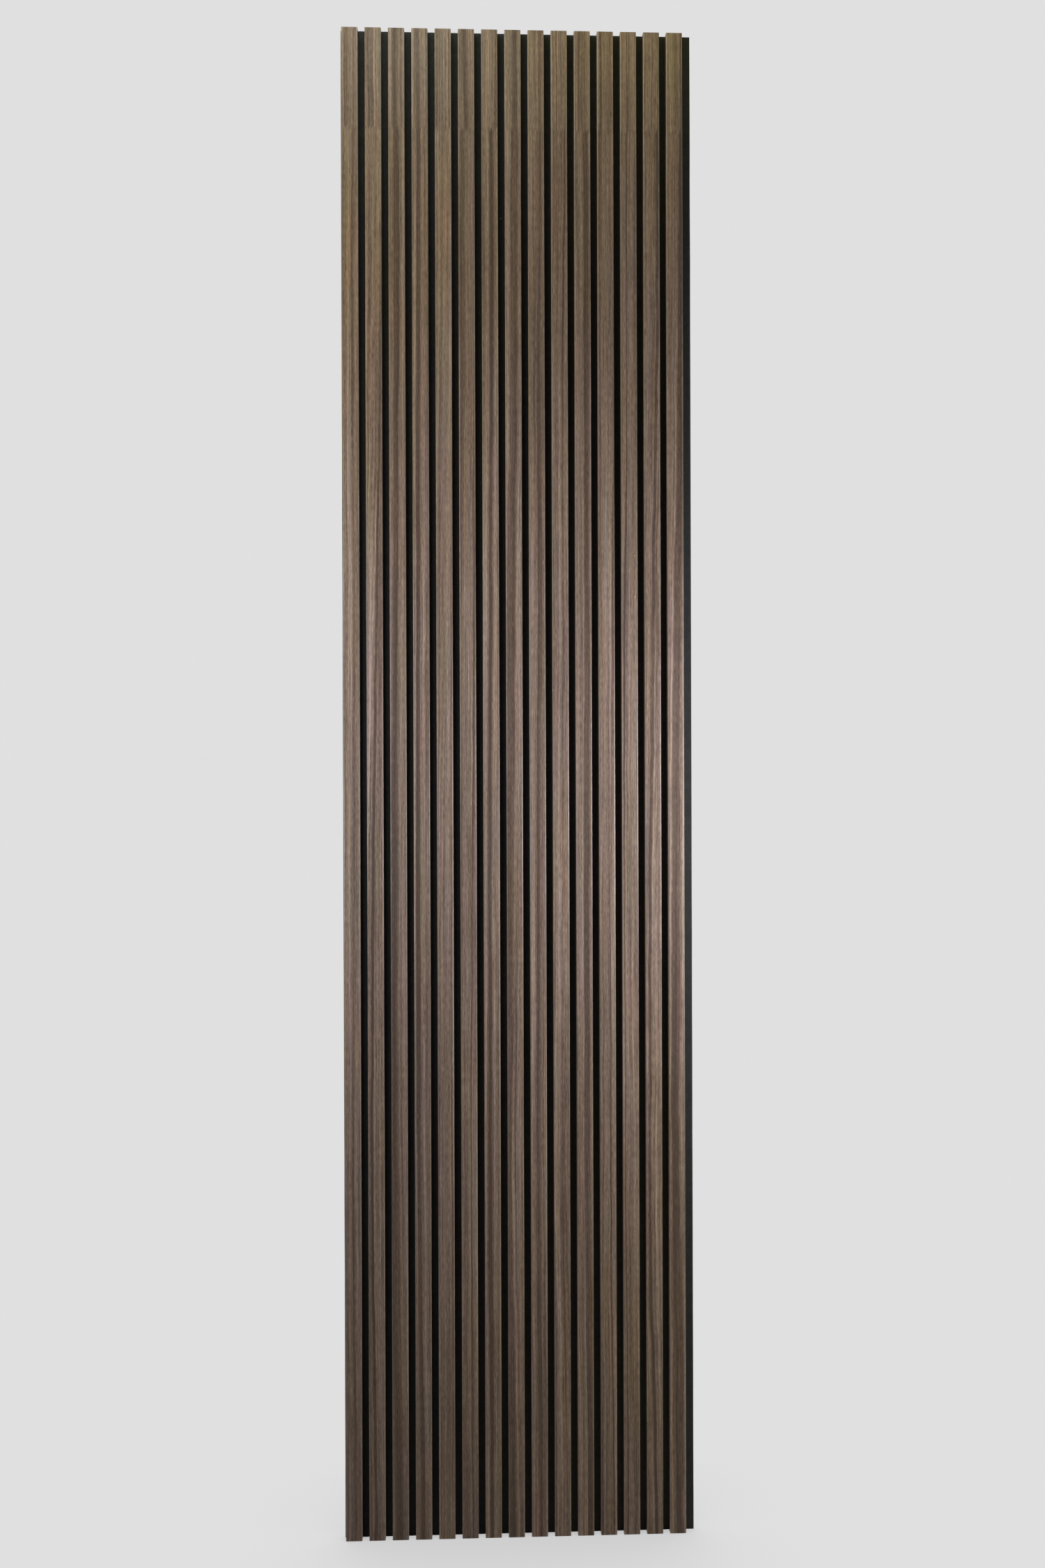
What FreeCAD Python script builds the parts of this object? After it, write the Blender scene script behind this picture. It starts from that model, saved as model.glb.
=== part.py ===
import FreeCAD, Part
import os

# Acoustic slat wall panel: veneered slats glued and stapled to a felt backing board.
# Frame, in millimetres: the origin is the centre of the felt's rear face, which goes
# against the wall. +Z is up along the slats, +X is to the right as seen from the room,
# and the room is towards -Y, so every depth below is measured from the wall towards -Y.

# Driving dimensions: the panel
PANEL_LENGTH = 2600.0       # felt and slats are cut to one length
FELT_THICKNESS = 9.0
SLAT_COUNT = 15
SLAT_WIDTH = 28.0           # over the veneer
SLAT_GAP = 12.0             # clear felt between two slats
SLAT_THICKNESS = 12.0       # from the felt to the veneered face
FELT_LEFT_MARGIN = 2.0      # felt showing outside the first slat
FELT_RIGHT_MARGIN = 15.0    # felt showing outside the last slat

# Driving dimensions: the slat's section
VENEER_THICKNESS = 0.5
CORE_ARRIS_RADIUS = 0.7     # eased front edges of the core, under the veneer

# Driving dimensions: the staples that hold each slat from behind
STAPLE_CROWN_WIDTH = 12.9   # outside, across the slat
STAPLE_WIRE_WIDTH = 0.95    # along the slat
STAPLE_WIRE_THICKNESS = 0.65
STAPLE_RECESS = 0.3         # crown driven below the felt's rear face
STAPLE_TIP_COVER = 4.5      # core left in front of the leg's tip
STAPLE_END_MARGIN = 100.0   # from the end of the first slat to its first staple
STAPLE_SPACING = 600.0      # largest distance between two staples of a slat

# What follows from them
SLAT_PITCH = SLAT_WIDTH + SLAT_GAP
SLATS_ACROSS = SLAT_COUNT * SLAT_WIDTH + (SLAT_COUNT - 1) * SLAT_GAP
FELT_WIDTH = FELT_LEFT_MARGIN + SLATS_ACROSS + FELT_RIGHT_MARGIN
FELT_LEFT = -FELT_WIDTH / 2
FIRST_SLAT_LEFT = FELT_LEFT + FELT_LEFT_MARGIN
BOTTOM = -PANEL_LENGTH / 2
FELT_FRONT = -FELT_THICKNESS
SLAT_FRONT = FELT_FRONT - SLAT_THICKNESS
CORE_FRONT = SLAT_FRONT + VENEER_THICKNESS
VENEER_ARRIS_RADIUS = CORE_ARRIS_RADIUS + VENEER_THICKNESS
STAPLE_TIP = CORE_FRONT + STAPLE_TIP_COVER
CUT_OVERRUN = 1.0           # how far a cutting tool stands out of the rear face


def slat_left(index):
    """Left side of slat `index`, counted from 0 at the left."""
    return FIRST_SLAT_LEFT + index * SLAT_PITCH


def slat_names(stem):
    """Node names of one piece of every slat, numbered from 01 at the left."""
    return [f"{stem}_{index + 1:02d}" for index in range(SLAT_COUNT)]


def at(x, y):
    """A point of a section, in the plane of the panel's bottom end."""
    return FreeCAD.Vector(x, y, BOTTOM)


def eased_outline(left, right, front, radius):
    """Edges of a slat's outline from the felt, round its two eased front edges, to the felt.

    The outline runs up the left side, across the front and down the right side.
    """
    slant = radius * (1 - 0.5 ** 0.5)
    left_corner = Part.Arc(at(left, front + radius), at(left + slant, front + slant),
                           at(left + radius, front))
    right_corner = Part.Arc(at(right - radius, front), at(right - slant, front + slant),
                            at(right, front + radius))
    return [
        Part.LineSegment(at(left, FELT_FRONT), at(left, front + radius)).toShape(),
        left_corner.toShape(),
        Part.LineSegment(at(left + radius, front), at(right - radius, front)).toShape(),
        right_corner.toShape(),
        Part.LineSegment(at(right, front + radius), at(right, FELT_FRONT)).toShape(),
    ]


def seat_edge(start, end):
    """A straight stretch of a section where it sits on the felt."""
    return Part.LineSegment(at(start, FELT_FRONT), at(end, FELT_FRONT)).toShape()


def full_length(edges):
    """The section bounded by `edges`, carried along the whole panel."""
    section = Part.Face(Part.Wire(Part.__sortEdges__(edges)))
    return section.extrude(FreeCAD.Vector(0, 0, PANEL_LENGTH))


def core_sides(index):
    """Left and right sides of a slat's core, inside its veneer."""
    left = slat_left(index) + VENEER_THICKNESS
    right = slat_left(index) + SLAT_WIDTH - VENEER_THICKNESS
    return left, right


def staple_heights(index):
    """Heights of one slat's staples, evenly spaced between the two end margins.

    Every second slat has its staples half a space on, level with its neighbours' spaces.
    """
    reach = PANEL_LENGTH - 2 * STAPLE_END_MARGIN
    spaces = max(1, -int(-reach // STAPLE_SPACING))
    first = BOTTOM + STAPLE_END_MARGIN
    space = reach / spaces
    if index % 2 == 0:
        return [first + step * space for step in range(spaces + 1)]
    return [first + (step + 0.5) * space for step in range(spaces)]


def staple(index, height, crown_top):
    """One staple of slat `index`, with its crown's outer face at depth `crown_top`.

    The U lies across the slat: the crown near the rear face, both legs towards the room.
    """
    centre = slat_left(index) + SLAT_WIDTH / 2
    left = centre - STAPLE_CROWN_WIDTH / 2
    right = centre + STAPLE_CROWN_WIDTH / 2
    crown_under = -STAPLE_RECESS - STAPLE_WIRE_THICKNESS
    outline = [
        (left, crown_top),
        (right, crown_top),
        (right, STAPLE_TIP),
        (right - STAPLE_WIRE_THICKNESS, STAPLE_TIP),
        (right - STAPLE_WIRE_THICKNESS, crown_under),
        (left + STAPLE_WIRE_THICKNESS, crown_under),
        (left + STAPLE_WIRE_THICKNESS, STAPLE_TIP),
        (left, STAPLE_TIP),
    ]
    low = height - STAPLE_WIRE_WIDTH / 2
    corners = [FreeCAD.Vector(x, y, low) for x, y in outline]
    face = Part.Face(Part.makePolygon(corners + corners[:1]))
    return face.extrude(FreeCAD.Vector(0, 0, STAPLE_WIRE_WIDTH))


def slat_staples(index):
    """The staples of one slat."""
    return [staple(index, height, -STAPLE_RECESS) for height in staple_heights(index)]


def make_felt_backing():
    """The felt board, with the slot that each staple has been driven through."""
    board = Part.makeBox(FELT_WIDTH, FELT_THICKNESS, PANEL_LENGTH,
                         FreeCAD.Vector(FELT_LEFT, FELT_FRONT, BOTTOM))
    slots = [staple(index, height, CUT_OVERRUN)
             for index in range(SLAT_COUNT) for height in staple_heights(index)]
    return board.cut(slots)


def make_slat_core(index):
    """The fibreboard core of one slat, with the holes that its staples' legs fill."""
    left, right = core_sides(index)
    outline = eased_outline(left, right, CORE_FRONT, CORE_ARRIS_RADIUS)
    core = full_length(outline + [seat_edge(right, left)])
    return core.cut(slat_staples(index))


def make_veneer_wrap(index):
    """The veneer of one slat, folded round its face and both sides down to the felt."""
    left = slat_left(index)
    right = left + SLAT_WIDTH
    core_left, core_right = core_sides(index)
    outside = eased_outline(left, right, SLAT_FRONT, VENEER_ARRIS_RADIUS)
    inside = eased_outline(core_left, core_right, CORE_FRONT, CORE_ARRIS_RADIUS)
    feet = [seat_edge(left, core_left), seat_edge(core_right, right)]
    return full_length(outside + inside + feet)


def make_staples():
    """All staples of the panel, as separate solids of one group."""
    return Part.makeCompound([one for index in range(SLAT_COUNT) for one in slat_staples(index)])


def main():
    os.makedirs("parts", exist_ok=True)
    pieces = {"felt_backing": make_felt_backing(), "staples": make_staples()}
    for index, name in enumerate(slat_names("slat_core")):
        pieces[name] = make_slat_core(index)
    for index, name in enumerate(slat_names("veneer_wrap")):
        pieces[name] = make_veneer_wrap(index)
    for name, shape in pieces.items():
        shape.exportStep(os.path.join("parts", name + ".step"))
        print(f"{name}: {len(shape.Solids)} solids, {shape.Volume / 1000:.2f} cm3, valid {shape.isValid()}")


main()
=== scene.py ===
import math
from collections import namedtuple

import bpy
import numpy as np
from bpy.props import FloatProperty, FloatVectorProperty, IntProperty, PointerProperty
from mathutils import Matrix, Vector


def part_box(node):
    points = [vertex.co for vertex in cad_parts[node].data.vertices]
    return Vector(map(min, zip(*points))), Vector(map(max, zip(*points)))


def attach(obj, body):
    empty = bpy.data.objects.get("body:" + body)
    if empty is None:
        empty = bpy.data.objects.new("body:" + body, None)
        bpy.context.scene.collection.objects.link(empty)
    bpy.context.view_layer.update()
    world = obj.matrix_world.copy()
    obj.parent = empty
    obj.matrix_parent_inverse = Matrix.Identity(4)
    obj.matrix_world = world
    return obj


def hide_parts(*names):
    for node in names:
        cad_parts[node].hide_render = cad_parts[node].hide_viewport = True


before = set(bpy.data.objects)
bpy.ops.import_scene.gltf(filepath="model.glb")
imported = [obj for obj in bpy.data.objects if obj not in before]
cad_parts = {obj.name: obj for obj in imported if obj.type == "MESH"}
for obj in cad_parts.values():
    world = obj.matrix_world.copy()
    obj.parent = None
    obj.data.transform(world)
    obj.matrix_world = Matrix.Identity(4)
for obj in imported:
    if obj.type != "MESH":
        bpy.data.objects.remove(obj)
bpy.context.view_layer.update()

bl_info = {
    "name": "Acoustic slat wall panel",
    "version": (1, 0, 0),
    "blender": (4, 5, 0),
    "location": "View3D > Sidebar > Slat panel",
    "description": "Dresses the packed slat panel with veneer, felt, staples and fibreboard in a studio",
    "category": "Object",
}

# The frame's room side is -Y, up is +Z, and every length is in metres.
MM = 0.001
HUNDREDTH = 0.01
BODY = "root"


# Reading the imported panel

def numbered(stem, index):
    """Node name of one piece of slat `index`, counted from 0 at the left."""
    return f"{stem}_{index + 1:02d}"


def node_box(name):
    """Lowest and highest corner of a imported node, as arrays."""
    low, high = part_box(name)
    return np.array(low), np.array(high)


def node_corners(name):
    """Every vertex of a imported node, one row each."""
    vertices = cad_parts[name].data.vertices
    places = np.empty(len(vertices) * 3)
    vertices.foreach_get("co", places)
    return places.reshape(-1, 3)


SLAT_COUNT = sum(name.startswith("veneer_wrap_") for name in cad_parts)
FELT_LOW, FELT_HIGH = node_box("felt_backing")
WRAPS = [node_box(numbered("veneer_wrap", index)) for index in range(SLAT_COUNT)]
CORES = [node_box(numbered("slat_core", index)) for index in range(SLAT_COUNT)]
SLAT_WIDTH = WRAPS[0][1][0] - WRAPS[0][0][0]
SLAT_PITCH = WRAPS[1][0][0] - WRAPS[0][0][0]
SLAT_GAP = SLAT_PITCH - SLAT_WIDTH
RIGHT_SIDES = np.array([high[0] for low, high in WRAPS])
VENEER_THICKNESS = CORES[0][0][0] - WRAPS[0][0][0]

StapleWire = namedtuple("StapleWire", "crown_outside crown_inside tip height crown_width seats")


def read_staples():
    """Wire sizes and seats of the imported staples.

    A packed staple is a square-cornered U, so its corners share three depths: the crown's outside, the
    crown's inside and the tip. They share two heights, the lower and upper side of the wire, and a seat
    is the middle of those heights at the middle of the slat.
    """
    corners = node_corners("staples")
    tip, crown_inside, crown_outside = np.unique(np.round(corners[:, 1], 6))
    seats = []
    for low, high in CORES:
        mine = corners[(corners[:, 0] > low[0]) & (corners[:, 0] < high[0])]
        sides = np.unique(np.round(mine[:, 2], 6)).reshape(-1, 2)
        middle = (mine[:, 0].min() + mine[:, 0].max()) / 2
        seats += [(middle, height) for height in sides.mean(axis=1)]
    width = mine[:, 0].max() - mine[:, 0].min()
    return StapleWire(crown_outside, crown_inside, tip, sides[0, 1] - sides[0, 0], width, np.array(seats))


STAPLES = read_staples()

# The grain of each slat, as a maker would mark it on the leaves, all in hundredths. A streak's places are
# counted over the slat's face from its left arris, evenly spread over the marked height: every 0.3 m down
# a long leaf, and at the top end and the splice on a short one. Its width is counted over the face too. Its
# depth is how much darker it is than the leaf (below 0: lighter), and its lean how far that darkness
# gathers at its right edge. A width or a depth that changes along the leaf has a number for each place.
Streak = namedtuple("Streak", "places width depth lean", defaults=(0,))
LONG_MARKS = (1.2, -1.2)    # heights of the first and the last mark of a long leaf
SHORT_MARKS = (1.3, 1.13)   # the same of a short leaf
MARK_ROUNDING = 0.12        # how far up and down a streak's course is evened out
ROUNDING_STEPS = 7

LONG_LEAVES = [
    [
        Streak((78, 66, 63, 66, 67, 60, 50, 50, 58), 11, 40),
        Streak((42, 40, 38, 33, 30, 35, 36, 30, 26), 13, -22),
        Streak((14, 12, 10, 10, 12, 14, 12, 8, 4), 10, 25),
    ], [
        Streak((97, 94, 82, 57, 45, 32, 18, 29, 40), 20, (10, 60, 80, 90, 95, 95, 90, 90, 80), 50),
        Streak((25, 25, 24, 22, 14, 6, 0, 0, 8), 18, (0, 0, -15, -40, -35, -25, 0, 0, 0)),
        Streak((90, 90, 86, 36, 8, 0, 0, 0, 0), 7, (0, 0, -20, -60, -30, 0, 0, 0, 0)),
    ], [
        Streak((50, 45, 44, 35, 24, 14, 13, 22, 42), (34, 34, 34, 38, 46, 52, 52, 50, 50), 66, 30),
        Streak((92, 90, 88, 84, 80, 74, 78, 84, 90), 16, -20),
        Streak(50, 96, (0, 0, 0, 4, 16, 18, 16, 16, 16)),
    ], [
        Streak((41, 41, 36, 34, 29, 25, 25, 33, 46), 28, 80),
        Streak((66, 64, 62, 60, 57, 54, 54, 62, 72), 13, -22),
        Streak((16, 16, 12, 10, 7, 5, 5, 8, 14), 9, -20),
    ], [
        Streak((46, 41, 33, 20, 8, 0, -4, -6, -6), 15, 26),
        Streak((66, 62, 58, 54, 46, 38, 34, 34, 34), 7, (0, 0, 10, 20, 25, 15, 0, 0, 0)),
        Streak((99, 99, 99, 98, 94, 85, 87, 94, 97), 9, (0, 0, 0, 0, 35, 60, 60, 40, 30)),
    ], [
        Streak((25, 25, 19, 14, 9, 4, 0, -4, -4), 26, (60, 60, 50, 45, 40, 30, 10, 0, 0)),
        Streak((94, 93, 92, 88, 80, 68, 60, 63, 68), 10, (20, 20, 30, 50, 75, 80, 80, 75, 70)),
    ], [
        Streak((61, 60, 56, 48, 40, 39, 35, 35, 42), 24, 85),
        Streak((36, 36, 32, 24, 16, 15, 12, 12, 18), 13, -28),
        Streak((88, 88, 84, 76, 68, 67, 63, 63, 70), 26, (0, 0, 0, 0, -15, -25, -25, -25, -10)),
    ], [
        Streak((62, 60, 53, 34, 22, 18, 10, 15, 29), (46, 46, 43, 50, 46, 40, 27, 36, 56), 68),
        Streak((17, 17, 15, 4, 0, 0, 0, 0, 0), 20, (-40, -40, -35, 0, 0, 0, 0, 0, 0)),
        Streak((92, 90, 82, 67, 52, 45, 33, 41, 64), 15, (0, 0, -25, -40, -20, -20, -30, -35, -35)),
        Streak((72, 72, 72, 72, 70, 64, 46, 58, 72), 6, (0, 0, 0, 0, 15, 45, 55, 45, 10)),
    ], [
        Streak((72, 72, 66, 66, 57, 52, 49, 51, 58), 27, (55, 45, 50, 55, 65, 72, 72, 70, 65)),
        Streak((34, 34, 30, 30, 24, 20, 18, 20, 26), 40, (-5, -5, -20, -15, -8, 0, 0, -10, -15)),
    ], [
        Streak((87, 77, 62, 65, 63, 54, 48, 61, 77), 9, (60, 65, 60, 55, 40, 20, 25, 40, 45)),
        Streak((44, 44, 44, 44, 42, 38, 36, 35, 34), 8, (0, 0, -30, -30, -10, -10, -35, -20, 0)),
        Streak((0, 0, 0, 0, 0, 0, 0, 2, 10), 13, (0, 0, 0, 0, 0, 0, 10, 25, 50)),
    ], [
        Streak((70, 73, 73, 70, 66, 64, 60, 69, 78), 33, (76, 76, 78, 74, 60, 72, 78, 84, 92)),
        Streak((47, 50, 51, 48, 43, 41, 36, 46, 55), 9, -28),
    ], [
        Streak((20, 12, 9, 5, 0, 0, 0, 0, 8), 19, (65, 65, 62, 45, 10, 0, 0, 10, 40)),
        Streak((101, 100, 97, 89, 81, 81, 81, 81, 81), 15, (0, 20, 55, 85, 45, 0, 0, 0, 0)),
        Streak((62, 62, 62, 62, 63, 67, 69, 68, 82), 9, (0, 0, 0, 0, 25, 75, 80, 80, 75)),
    ], [
        Streak((41, 39, 36, 20, 12, 16, 13, 20, 25), 8, 78),
    ], [
        Streak((86, 86, 72, 52, 40, 25, 24, 28, 57), 19, 92),
        Streak((30, 30, 30, 60, 62, 60, 62, 72, 84), 15, (-10, -15, -10, 0, 0, -15, -30, -35, -20)),
        Streak((60, 60, 60, 74, 76, 76, 78, 86, 96), 7, (0, 0, 0, 10, 20, 20, 35, 30, 20)),
    ], [
        Streak((85, 86, 82, 62, 54, 48, 39, 47, 60), (18, 27, 32, 54, 62, 54, 47, 57, 56), 72, -15),
        Streak((72, 68, 57, 29, 16, 10, 8, 9, 16), 11, (0, 0, -30, -60, -45, -30, -25, -25, -25)),
        Streak((99, 99, 99, 99, 97, 91, 83, 90, 98), 17, (0, 0, 0, 0, -25, -30, -35, -35, -30)),
    ],
]
SHORT_LEAVES = [
    [Streak((38, 24), 26, 40)],
    [Streak((30, 36), 40, 50), Streak((85, 85), 14, -15)],
    [Streak((40, 42), 28, 55)],
    [Streak((35, 37), 27, 60)],
    [Streak((8, 8), 24, 50), Streak((80, 92), 7, 65)],
    [Streak((36, 53), 26, 60)],
    [Streak((97, 87), 24, 65)],
    [Streak((64, 62), 42, 65), Streak((20, 20), 16, -30)],
    [Streak((74, 72), 22, 65)],
    [Streak((35, 34), 8, 65)],
    [Streak((52, 55), 50, 35)],
    [Streak((22, 19), 20, 65)],
    [Streak((42, 41), 7, 65)],
    [Streak((96, 94), 14, 60)],
    [Streak((94, 92), 14, 60)],
]
# How far the grain of a slat wanders sideways, in hundredths of its face, and how curled its figure is:
# most leaves are straight and plain.
STRAIGHT_WANDER = 1.2
WANDER = {1: 1.8, 7: 1.8, 9: 1.8, 13: 2.2, 14: 1.8}
WANDER_WAVES = (0.62, 0.31, 0.17, 0.10)
WAVE_SPREAD = (0.8, 1.25)   # how short and how long chance makes a wave, as shares of its length above
FIGURE = {1: 0.35, 7: 0.3, 9: 0.35, 13: 0.5, 14: 0.35}
PLAIN_FIGURE = 0.12
GRAIN_FOLLOWS = 0.8         # how far the fine grain of a leaf runs along with its first streak


# Settings that a user would change

def length(name, description, default):
    """A length property."""
    return FloatProperty(name=name, description=description, default=default, min=0.0, precision=5,
                         unit="LENGTH", subtype="DISTANCE")


def share(name, description, default):
    """A property between 0 and 1."""
    return FloatProperty(name=name, description=description, default=default, min=0.0, max=1.0,
                         subtype="FACTOR")


def colour(name, description, default):
    """A colour property, in linear light."""
    return FloatVectorProperty(name=name, description=description, default=default, size=3, min=0.0,
                               max=1.0, subtype="COLOR")


def watts(name, description, default):
    """The power of a lamp."""
    return FloatProperty(name=name, description=description, default=default, min=0.0, unit="POWER")


def angle(name, description, degrees):
    """An angle property, with its default in degrees."""
    return FloatProperty(name=name, description=description, default=math.radians(degrees),
                         unit="ROTATION", subtype="ANGLE")


class VeneerSettings(bpy.types.PropertyGroup):
    """The smoked veneer folded round each slat."""

    arris_radius: length("Arris radius", "Rounding of the veneer over the slat's front edges", 1.2 * MM)
    darkest: colour("Darkest grain", "Heart of the dark streaks", (0.062, 0.040, 0.031))
    dark: colour("Dark grain", "Dark streaks", (0.110, 0.072, 0.055))
    middle: colour("Ground", "The leaf between its streaks", (0.169, 0.116, 0.090))
    light: colour("Light grain", "Light lines of the leaf", (0.249, 0.178, 0.141))
    lightest: colour("Lightest grain", "Palest flecks of the leaf", (0.354, 0.262, 0.212))
    streak_depth: share("Streak depth", "How strongly the marked streaks show", 0.49)
    splice_height: FloatProperty(name="Splice height", default=1.128, unit="LENGTH", subtype="DISTANCE",
                                 description="Height of the toothed joint of two leaves")
    tooth_width: length("Tooth width", "Width of one tooth of the splice", 4.6 * MM)
    tooth_height: length("Tooth height", "Height of the teeth of the splice", 10 * MM)
    roughness: share("Roughness", "Roughness of the matt lacquer", 0.47)
    relief: length("Relief", "Depth of the open grain under the lacquer", 0.10 * MM)


class FeltSettings(bpy.types.PropertyGroup):
    """The pressed felt board behind the slats."""

    ground: colour("Felt", "The felt's fibres", (0.0155, 0.015, 0.015))
    fibre: colour("Loose fibres", "Paler fibres at the surface", (0.047, 0.046, 0.047))
    edge_radius: length("Edge radius", "Softness of the cut edges", 1.2 * MM)
    pillow: length("Pillow", "How far the felt swells between two slats", 0.25 * MM)
    ragged: length("Ragged edge", "How far the cut edges stray from straight", 0.25 * MM)
    dimple_depth: length("Dimple depth", "How far a staple pulls the rear face in", 1.0 * MM)
    dimple_reach: length("Dimple reach", "How far round a crown the rear face is pulled in", 3.4 * MM)


class StapleSettings(bpy.types.PropertyGroup):
    """The galvanised staples driven from the rear."""

    bright: colour("Bright zinc", "Clean galvanised wire", (0.62, 0.62, 0.63))
    dull: colour("Dull zinc", "Wire with a white bloom", (0.40, 0.41, 0.42))
    bend_radius: length("Bend radius", "Outer radius of the wire's two bends", 1.3 * MM)


class FibreboardSettings(bpy.types.PropertyGroup):
    """The fibreboard cores, bare at the slats' ends."""

    ground: colour("Fibreboard", "The board's middle", (0.33, 0.225, 0.135))
    skin: colour("Dense skin", "The pressed faces of the board", (0.215, 0.140, 0.080))
    fleck: colour("Fibre fleck", "Pale fibre bundles", (0.47, 0.345, 0.22))


class LintSettings(bpy.types.PropertyGroup):
    """The few specks of lint on the panel."""

    colour: colour("Lint", "Colour of the lint", (0.72, 0.68, 0.62))
    length: length("Lint length", "Length of one curl of lint", 2.4 * MM)
    thickness: length("Lint thickness", "Thickness of one curl of lint", 0.7 * MM)


class StageSettings(bpy.types.PropertyGroup):
    """Floor, backdrop, lamps and camera."""

    backdrop: share("Backdrop", "Grey of the floor and backdrop, in linear light", 0.745)
    shadow: share("Floor shadow", "How dark the floor is where the panel hides all the light", 0.35)
    shadow_reach: length("Shadow reach", "How far from the panel its shadow on the floor is felt", 0.30)
    ambient: share("Ambient light", "Light from all around", 0.02)
    key_power: watts("Key lamp", "Soft lamp at the right, level with the middle", 14.2)
    fill_power: watts("Fill lamp", "Soft lamp at the left, a little over the middle", 8.2)
    upper_power: watts("Upper lamp", "Soft warm lamp at the left, level with the upper third", 2.2)
    top_power: watts("Top lamp", "Soft lamp over the upper left corner", 3.0)
    warm_power: watts("Warm lamp", "Small warm lamp over the upper right corner", 1.2)
    low_power: watts("Low lamp", "Small warm lamp in front at the right, near the foot", 0.5)
    back_power: watts("Back lamp", "Soft lamp behind the panel", 45.0)
    camera_place: FloatVectorProperty(name="Camera", description="Where the camera stands", size=3,
                                      default=(-0.0801, -2.3036, 0.0051), unit="LENGTH",
                                      subtype="TRANSLATION")
    camera_yaw: angle("Yaw", "Camera's turn to the right", 2.186)
    camera_pitch: angle("Pitch", "Camera's tilt upwards", -0.111)
    camera_roll: angle("Roll", "Camera's turn about its own line of sight", -0.177)
    camera_lens: FloatProperty(name="Lens", description="Focal length in millimetres", default=30.4)
    seed: IntProperty(name="Seed", description="Seed of everything that strays by chance", default=7)


class PanelSettings(bpy.types.PropertyGroup):
    """All settings of the panel."""

    veneer: PointerProperty(type=VeneerSettings)
    felt: PointerProperty(type=FeltSettings)
    staples: PointerProperty(type=StapleSettings)
    fibreboard: PointerProperty(type=FibreboardSettings)
    lint: PointerProperty(type=LintSettings)
    stage: PointerProperty(type=StageSettings)


# Shader maths

class Value:
    """An output socket of a shader; arithmetic on it adds Math nodes to that shader."""

    def __init__(self, shader, socket):
        self.shader = shader
        self.socket = socket

    def other(self, output):
        """Another output of the same node."""
        return Value(self.shader, self.socket.node.outputs[output])

    def __add__(self, other):
        return self.shader.math("ADD", self, other)

    def __sub__(self, other):
        return self.shader.math("SUBTRACT", self, other)

    def __rsub__(self, other):
        return self.shader.math("SUBTRACT", other, self)

    def __mul__(self, other):
        return self.shader.math("MULTIPLY", self, other)

    def __truediv__(self, other):
        return self.shader.math("DIVIDE", self, other)

    def __abs__(self):
        return self.shader.math("ABSOLUTE", self)

    __radd__ = __add__
    __rmul__ = __mul__


class Shader:
    """The nodes of a material or of the world, written as expressions."""

    def __init__(self, owner):
        owner.use_nodes = True
        self.tree = owner.node_tree
        self.tree.nodes.clear()

    def node(self, kind, settings=None, inputs=None, output=0):
        """Adds a node: its settings first, then the values or links of its sockets."""
        made = self.tree.nodes.new(kind)
        for name, value in (settings or {}).items():
            if name == "stops":
                self.set_stops(made.color_ramp, value)
            else:
                setattr(made, name, value)
        for name, value in (inputs or {}).items():
            if isinstance(value, Value):
                self.tree.links.new(value.socket, made.inputs[name])
            else:
                made.inputs[name].default_value = value
        return Value(self, made.outputs[output]) if len(made.outputs) else None

    @staticmethod
    def set_stops(ramp, stops):
        """Gives a colour ramp its stops, each a place and a colour."""
        while len(ramp.elements) < len(stops):
            ramp.elements.new(1.0)
        for element, (place, value) in zip(ramp.elements, stops):
            element.position = place
            element.color = (*value, 1.0)

    def math(self, operation, first, second=0.0):
        return self.node("ShaderNodeMath", {"operation": operation}, {0: first, 1: second})

    def step(self, value, low, high):
        """0 below `low`, 1 above `high`, with a smooth rise between them."""
        return self.node("ShaderNodeMapRange", {"interpolation_type": "SMOOTHSTEP"},
                         {"Value": value, "From Min": low, "From Max": high})

    def mix(self, factor, first, second, blend="MIX"):
        """Two colours mixed; a colour is a Value or three numbers."""
        colours = [each if isinstance(each, Value) else (*each, 1.0) for each in (first, second)]
        return self.node("ShaderNodeMix", {"data_type": "RGBA", "blend_type": blend},
                         {0: factor, 6: colours[0], 7: colours[1]}, output=2)

    def vector(self, x, y):
        return self.node("ShaderNodeCombineXYZ", None, {0: x, 1: y})

    def noise(self, place, detail=2.0, roughness=0.5, dimensions="2D", scale=1.0):
        """Soft noise about 0, from about -0.5 to 0.5."""
        cloud = self.node("ShaderNodeTexNoise", {"noise_dimensions": dimensions},
                          {"Vector": place, "Scale": scale, "Detail": detail, "Roughness": roughness})
        return cloud - 0.5

    def uv(self, name):
        """The two coordinates of a UV map."""
        both = self.node("ShaderNodeUVMap", {"uv_map": name})
        across = self.node("ShaderNodeSeparateXYZ", None, {0: both})
        return across, across.other(1)

    def attribute(self, name):
        return self.node("ShaderNodeAttribute", {"attribute_name": name}, output="Fac")

    def place(self):
        """Object coordinates, in metres."""
        return self.node("ShaderNodeTexCoord", output="Object")

    def bump(self, height, distance, strength):
        return self.node("ShaderNodeBump", None,
                         {"Height": height, "Distance": distance, "Strength": strength})

    def finish(self, inputs):
        """Ends a material in a Principled shader with these socket values and links."""
        surface = self.node("ShaderNodeBsdfPrincipled", None, inputs)
        self.node("ShaderNodeOutputMaterial", None, {"Surface": surface})


def new_material(name):
    """A fresh material and its shader."""
    material = bpy.data.materials.new(name)
    return material, Shader(material)


# Mesh building

SHARP_ANGLE = 35.0          # degrees


def surface(x, y, z):
    """Points of a surface from its three coordinates, each given over its grid or over one side of it."""
    return np.stack(np.broadcast_arrays(x, y, z), axis=-1)


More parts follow.
